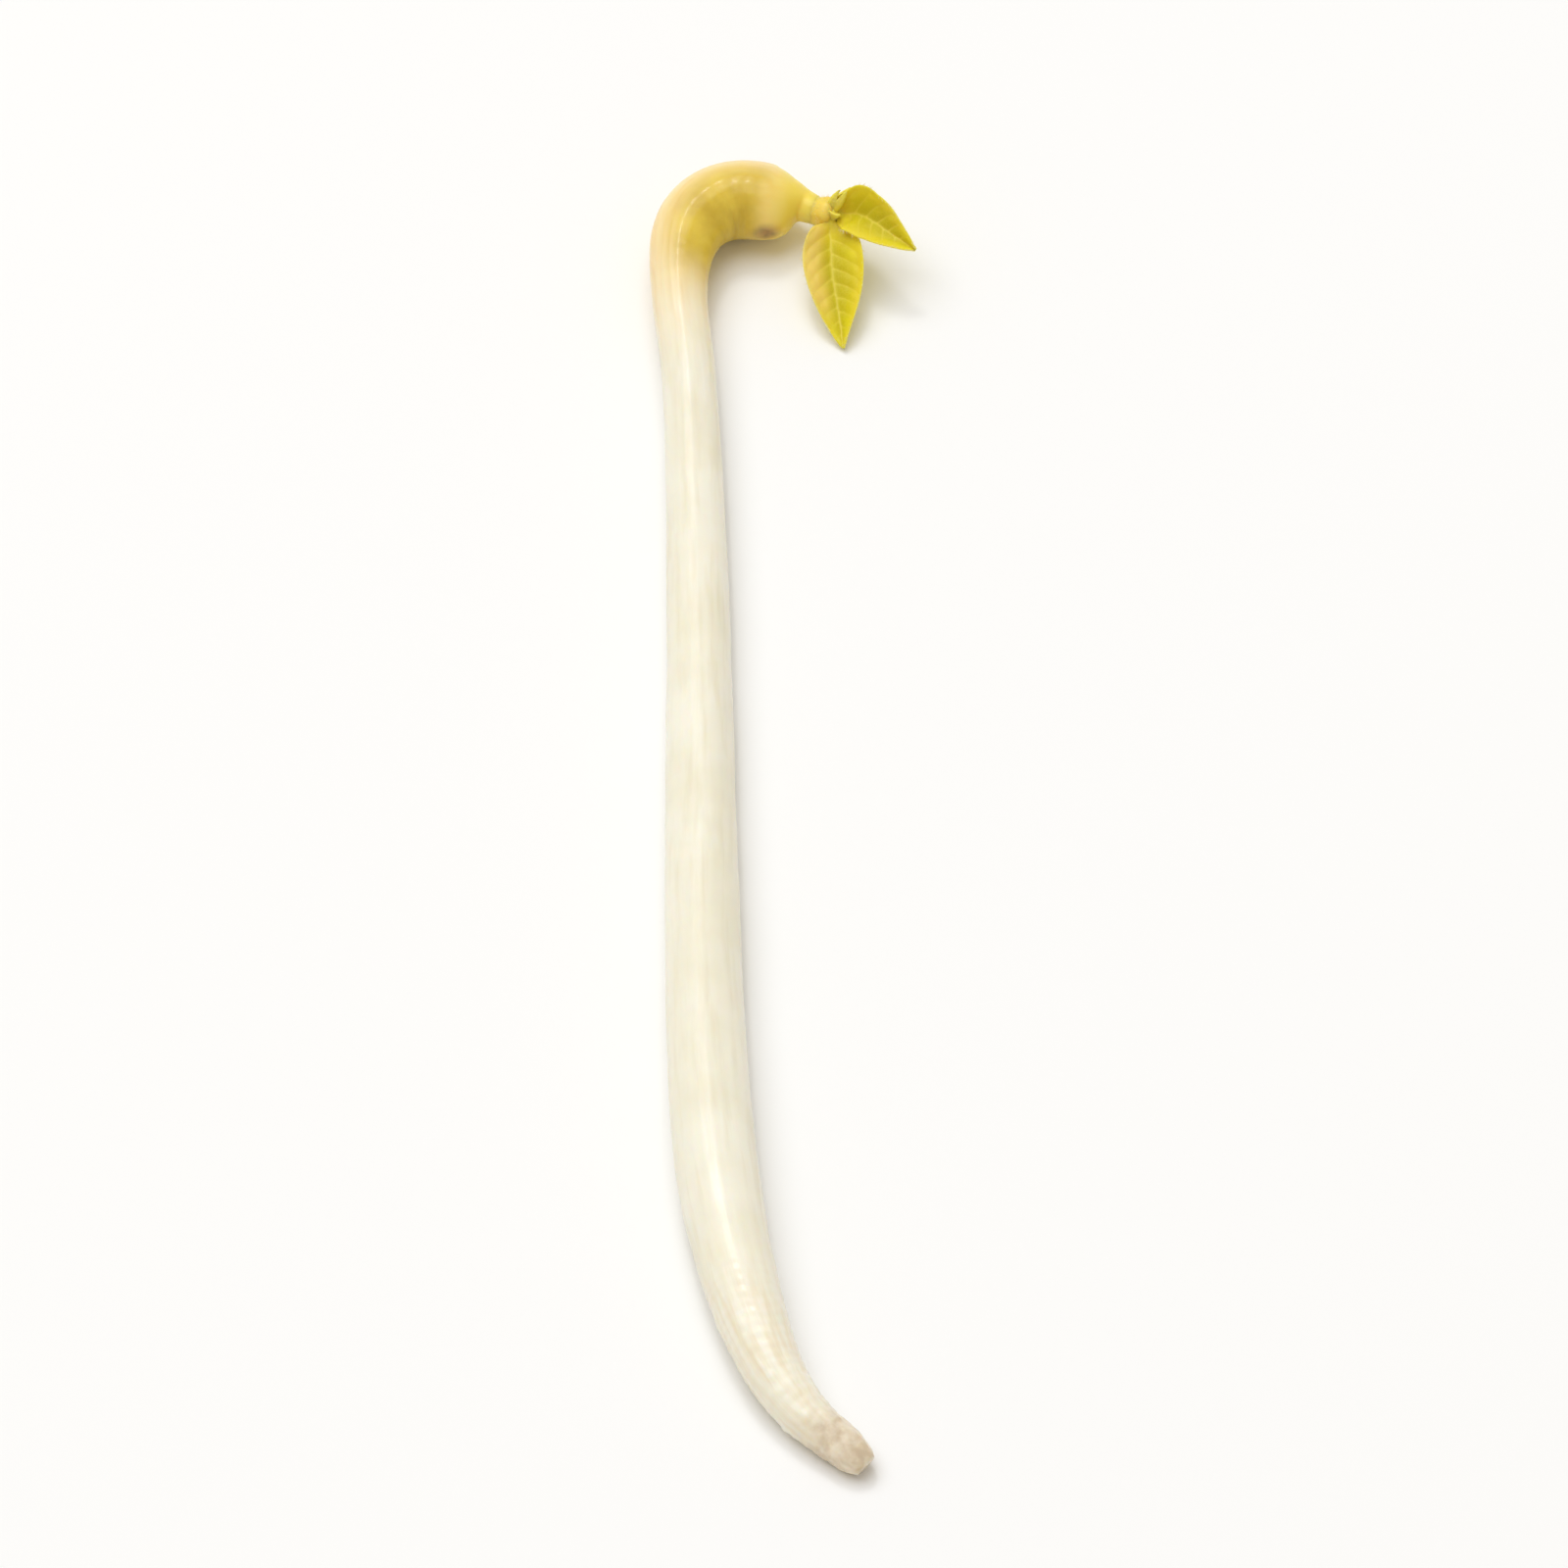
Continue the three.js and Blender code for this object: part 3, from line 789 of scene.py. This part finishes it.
def hairs_on(name, rings, choose, count, length, thickness, seed):
    """Hairs on the skin over rings, where choose(row share, ring share) says so, leaning towards
    the last ring."""
    dice = random.Random(seed)
    rows, sides = rings.shape[:2]
    hairs = []
    while len(hairs) < count:
        row, k = dice.randrange(2, rows - 3), dice.randrange(sides)
        size = length * dice.uniform(*HAIR_LENGTHS)
        if not choose(row / rows, k / sides):
            continue
        foot = rings[row, k]
        forward = rings[row + 2, k] - rings[row - 2, k]
        across = rings[row, (k + 1) % sides] - rings[row, k - 1]
        out = np.cross(forward, across)
        if not np.linalg.norm(out) or foot[2] < HAIR_CLEARANCE:
            continue
        out = unit(out)
        hairs.append((foot - HAIR_SINK * out, out + HAIR_LEAN * unit(forward), size))
    return hair_mesh(name, hairs, thickness, dice)


def near_margin(row, k):
    """Whether a share k of the way round a leaf's section lies close to one of its margins."""
    return min(k % 0.5, 0.5 - k % 0.5) < MARGIN_SHARE


def on_hairy_shoot(row, k):
    return HAIRY_SHOOT[0] < row < HAIRY_SHOOT[1]


# ---- Materials ----------------------------------------------------------------------------------

def linear(colour):
    """A colour given as it looks on a screen, 0 to 255, as the shader's linear light."""
    return tuple(((c / 255 + 0.055) / 1.055) ** 2.4 if c > 10 else c / 255 / 12.92 for c in colour)


class Nodes:
    """A material's node tree, with short calls for the nodes that its colours are mixed from."""

    def __init__(self, name):
        self.material = bpy.data.materials.new(name)
        self.material.use_nodes = True
        self.tree = self.material.node_tree
        self.shader = self.tree.nodes["Principled BSDF"]

    def new(self, kind, **values):
        """A node with its inputs set; underscores in their names stand for spaces."""
        node = self.tree.nodes.new("ShaderNode" + kind)
        for name, value in values.items():
            self._set(node.inputs[name.replace("_", " ")], value)
        return node

    def _set(self, socket, value):
        if isinstance(value, bpy.types.NodeSocket):
            self.tree.links.new(value, socket)
        else:
            socket.default_value = value

    def mark(self, name, output="Fac"):
        node = self.new("Attribute")
        node.attribute_name = name
        return node.outputs[output]

    def skin(self):
        """Place on the straightened piece, in millimetres."""
        return self.mark("skin", "Vector")

    def noise(self, scale, detail, stretch=(1, 1, 1)):
        """Noise over the straightened piece; scale is cells per millimetre."""
        place = self.new("Mapping", Vector=self.skin(), Scale=stretch).outputs["Vector"]
        return self.new("TexNoise", Vector=place, Scale=scale, Detail=detail).outputs["Fac"]

    def net(self, scale):
        """Distance to the lines of a fine net; scale is meshes per millimetre."""
        node = self.new("TexVoronoi")
        node.feature = "DISTANCE_TO_EDGE"
        self._set(node.inputs["Scale"], scale)
        self._set(node.inputs["Vector"], self.skin())
        return node.outputs["Distance"]

    def math(self, operation, a, b):
        node = self.new("Math")
        node.operation = operation
        self._set(node.inputs[0], a)
        self._set(node.inputs[1], b)
        return node.outputs["Value"]

    def ramp(self, value, low, high, to_low=0.0, to_high=1.0):
        return self.new("MapRange", Value=value, From_Min=low, From_Max=high,
                         To_Min=to_low, To_Max=to_high).outputs["Result"]

    def mix(self, share, a, b):
        node = self.new("Mix")
        node.data_type = "RGBA"
        self._set(node.inputs["Factor"], share)
        for name, colour in (("A", a), ("B", b)):
            fixed = not isinstance(colour, bpy.types.NodeSocket)
            self._set(node.inputs[name], (*linear(colour), 1) if fixed else colour)
        return node.outputs["Result"]

    def mottled(self, pattern, colours, low=0.35, high=0.65):
        """Two colours, the second where the pattern is high."""
        return self.mix(self.ramp(pattern, low, high), *colours)

    def over(self, skin, mark, strength, colour):
        """A skin with another colour over it where a mark says so."""
        return self.mix(self.math("MULTIPLY", self.mark(mark), strength), skin, colour)

    def bump(self, height, distance_mm, strength, normal=None):
        node = self.new("Bump", Height=height, Distance=distance_mm * MM, Strength=strength)
        if normal is not None:
            self._set(node.inputs["Normal"], normal)
        return node.outputs["Normal"]

    def finish(self, **values):
        """The material, with the shader's inputs set to values."""
        for name, value in values.items():
            name = name.replace("_", " ").title().replace("Ior", "IOR")
            self._set(self.shader.inputs[name], value)
        return self.material


def stem_material():
    n = Nodes("stem_skin")
    cloud = n.noise(0.42, detail=4)
    streak = n.noise(3.2, detail=3, stretch=LENGTHWISE)
    fibre = n.noise(5.0, detail=4, stretch=LENGTHWISE)
    streaked = n.ramp(streak, 0.48, 0.72, to_high=0.5)
    skin = n.mix(streaked, n.mottled(cloud, WHITES), STREAK)
    skin = n.over(skin, "neck", 0.85, n.mottled(streak, NECKS, 0.4, 0.7))
    # Olive inside the hook: partly its own yellow, partly painted shade.
    skin = n.over(skin, "inner", 0.92, n.mottled(n.noise(0.9, detail=4), OLIVES_AND_SHADE))
    # The bright end: partly the shoot's yellow, partly a painted highlight.
    skin = n.over(skin, "end", 1.0, SHOOT_FOOT_AND_HIGHLIGHT)
    skin = n.over(skin, "root", 0.85, n.mottled(fibre, ROOTS, 0.42, 0.66))
    skin = n.over(skin, "scar", 0.85, n.mottled(n.noise(3.5, detail=3), SCARS, 0.4, 0.6))
    blotches = n.ramp(n.noise(1.5, detail=5), 0.3, 0.7, to_low=0.6, to_high=1.6)
    browned = n.ramp(n.math("MULTIPLY", n.mark("tip"), blotches), 0.05, 0.95)
    skin = n.mix(browned, skin, n.mottled(n.noise(2.6, detail=5), BROWNS))
    grain = n.noise(10.0, detail=2, stretch=LENGTHWISE)
    normal = n.bump(grain, distance_mm=0.007, strength=0.7)
    normal = n.bump(n.noise(6.0, detail=2), distance_mm=0.004, strength=0.3, normal=normal)
    dry_tip = n.math("MULTIPLY", n.mark("tip"), 0.4)
    roughness = n.math("ADD", n.ramp(cloud, 0.3, 0.7, *STEM_ROUGHNESS), dry_tip)
    return n.finish(base_color=skin, roughness=roughness, normal=normal, ior=1.38,
                    subsurface_weight=0.7, subsurface_scale=0.45 * MM,
                    subsurface_radius=SKIN_SCATTER, coat_weight=0.2, coat_roughness=0.12)


def shoot_material():
    n = Nodes("shoot_skin")
    # The shoot's foot takes the stem end's yellow, with its painted highlight.
    skin = n.over(n.mottled(n.noise(0.9, detail=4), SHOOTS), "foot", 1.0, SHOOT_FOOT_AND_HIGHLIGHT)
    grain = n.noise(8.0, detail=2, stretch=LENGTHWISE)
    normal = n.bump(grain, distance_mm=0.006, strength=0.7)
    return n.finish(base_color=skin, roughness=0.36, normal=normal, ior=1.38,
                    subsurface_weight=0.7, subsurface_scale=0.4 * MM,
                    subsurface_radius=SKIN_SCATTER, coat_weight=0.15, coat_roughness=0.15)


def leaf_material(name, light, dark, hollow, net):
    """A leaf's skin; net is how strongly its finest veins show."""
    n = Nodes(name)
    cloud = n.noise(0.7, detail=5)
    lines = n.ramp(n.net(9.5), 0.0, 0.1, to_low=1, to_high=0)
    # The hollow beside the rib gets a darker colour as painted shade.
    skin = n.over(n.mottled(cloud, (light, dark)), "hollow", 0.7, hollow)
    near_foot = n.ramp(n.mark("along"), 0.0, 0.25, to_low=0.7, to_high=0)
    skin = n.mix(near_foot, skin, LEAF_FOOT)
    # Margins: a slightly more orange tone with painted light.
    skin = n.over(skin, "rim", 0.6, LEAF_RIM_TONE_AND_LIGHT)
    # Painted light on the half that lies flatter in the light.
    skin = n.over(skin, "pale", 1.0, LEAF_PAINTED_LIGHT)
    below = n.math("SUBTRACT", 1.0, n.mark("upper"))
    skin = n.mix(n.math("MULTIPLY", below, 0.45), skin, LEAF_BELOW)
    skin = n.mix(n.math("MULTIPLY", lines, 0.14 * net), skin, LEAF_NET)
    skin = n.over(skin, "vein", 0.6, LEAF_VEIN)
    normal = n.bump(lines, distance_mm=0.006, strength=0.4 * net)
    normal = n.bump(n.noise(5.2, detail=3), distance_mm=0.005, strength=0.5, normal=normal)
    roughness = n.ramp(cloud, 0.3, 0.7, *LEAF_ROUGHNESS)
    return n.finish(base_color=skin, roughness=roughness, normal=normal, ior=1.4,
                    subsurface_weight=0.5, subsurface_scale=0.22 * MM,
                    subsurface_radius=LEAF_SCATTER)


def hair_material():
    n = Nodes("hair")
    place = n.new("TexCoord").outputs["Object"]
    pattern = n.new("TexNoise", Vector=place, Scale=2 / MM).outputs["Fac"]
    return n.finish(base_color=n.mottled(pattern, HAIRS, 0.3, 0.7), roughness=0.4,
                    subsurface_weight=0.3, subsurface_scale=0.05 * MM)


# ---- The sprout ---------------------------------------------------------------------------------

def piece(obj, material, slot, *nodes):
    obj.data.materials.append(material)
    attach(obj, "root")
    if nodes:
        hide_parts(*nodes)


def sprout():
    leaf_skin = leaf_material("leaf_skin", *LEAF_COLOURS, 1)
    scale_skin = leaf_material("scale_skin", *SCALE_COLOURS, 0)
    hair = hair_material()
    shoot = shoot_rings()
    piece(solid_from_rings("stem", *stem_rings()), stem_material(), "stem", "stem_and_root")
    piece(solid_from_rings("shoot_stalk", *shoot), shoot_material(), "shoot", "shoot")
    for name, node, leaf in (("front_leaf", "leaf_front", LEAF_FRONT),
                             ("side_leaf", "leaf_side", LEAF_SIDE)):
        rings = leaf_rings(leaf, **FIRST_LEAF)
        piece(solid_from_rings(name, *rings), leaf_skin, "leaf", node)
        piece(hairs_on(name + "_hairs", rings[0], near_margin, **LEAF_HAIRS), hair, "leaf")
    for name, leaves, form in (("bud_leaflet", bud_leaflets(), BUD_LEAFLET),
                               ("stipule", stipules(), STIPULE)):
        for k, leaf in enumerate(leaves):
            made = solid_from_rings(f"{name}_{k}", *leaf_rings(leaf, **form))
            piece(made, scale_skin, "shoot")
    piece(hairs_on("shoot_hairs", shoot[0], on_hairy_shoot, **SHOOT_HAIRS), hair, "shoot")


# ---- Surface, light and camera ------------------------------------------------------------------

def floor():
    size = FLOOR_HALF_SIZE
    corners = [(-size, -size, 0), (size, -size, 0), (size, size, 0), (-size, size, 0)]
    mesh = bpy.data.meshes.new("floor")
    mesh.from_pydata(corners, [], [(0, 1, 2, 3)])
    mesh.materials.append(Nodes("pale_surface").finish(base_color=FLOOR_COLOUR, roughness=0.7))
    made = object_of(mesh)


def area_light(name, place, size, power, colour):
    """A round light that looks at the middle of the floor."""
    data = bpy.data.lights.new(name, "AREA")
    data.shape = "DISK"
    data.size = size
    data.energy = power
    data.color = colour
    made = bpy.data.objects.new(name, data)
    made.location = place
    made.rotation_euler = (-Vector(place)).to_track_quat("-Z", "Y").to_euler()
    bpy.context.scene.collection.objects.link(made)


def lights():
    world = bpy.data.worlds.new("studio")
    world.use_nodes = True
    background = world.node_tree.nodes["Background"]
    background.inputs["Color"].default_value = WORLD_COLOUR
    background.inputs["Strength"].default_value = WORLD_STRENGTH
    bpy.context.scene.world = world
    area_light("key", **KEY)
    area_light("glint", **GLINT)


def camera():
    data = bpy.data.cameras.new("camera")
    data.lens = CAMERA_LENS
    data.clip_start, data.clip_end = CAMERA_CLIP
    made = bpy.data.objects.new("camera", data)
    low, high = (np.array(corner) for corner in cad_box)
    _, depth, height = high - low
    elevation = math.radians(CAMERA_ELEVATION)
    back = Vector((0, -math.cos(elevation), math.sin(elevation)))
    seen_height = depth * math.sin(elevation) + height * math.cos(elevation)
    distance = seen_height / FRAME_SHARE * data.lens / data.sensor_width
    made.location = Vector((low + high) / 2) + back * distance
    made.rotation_euler = (-back).to_track_quat("-Z", "Y").to_euler()
    bpy.context.scene.collection.objects.link(made)
    bpy.context.scene.camera = made


sprout()
floor()
lights()
camera()
bpy.context.scene.view_settings.view_transform = "Standard"
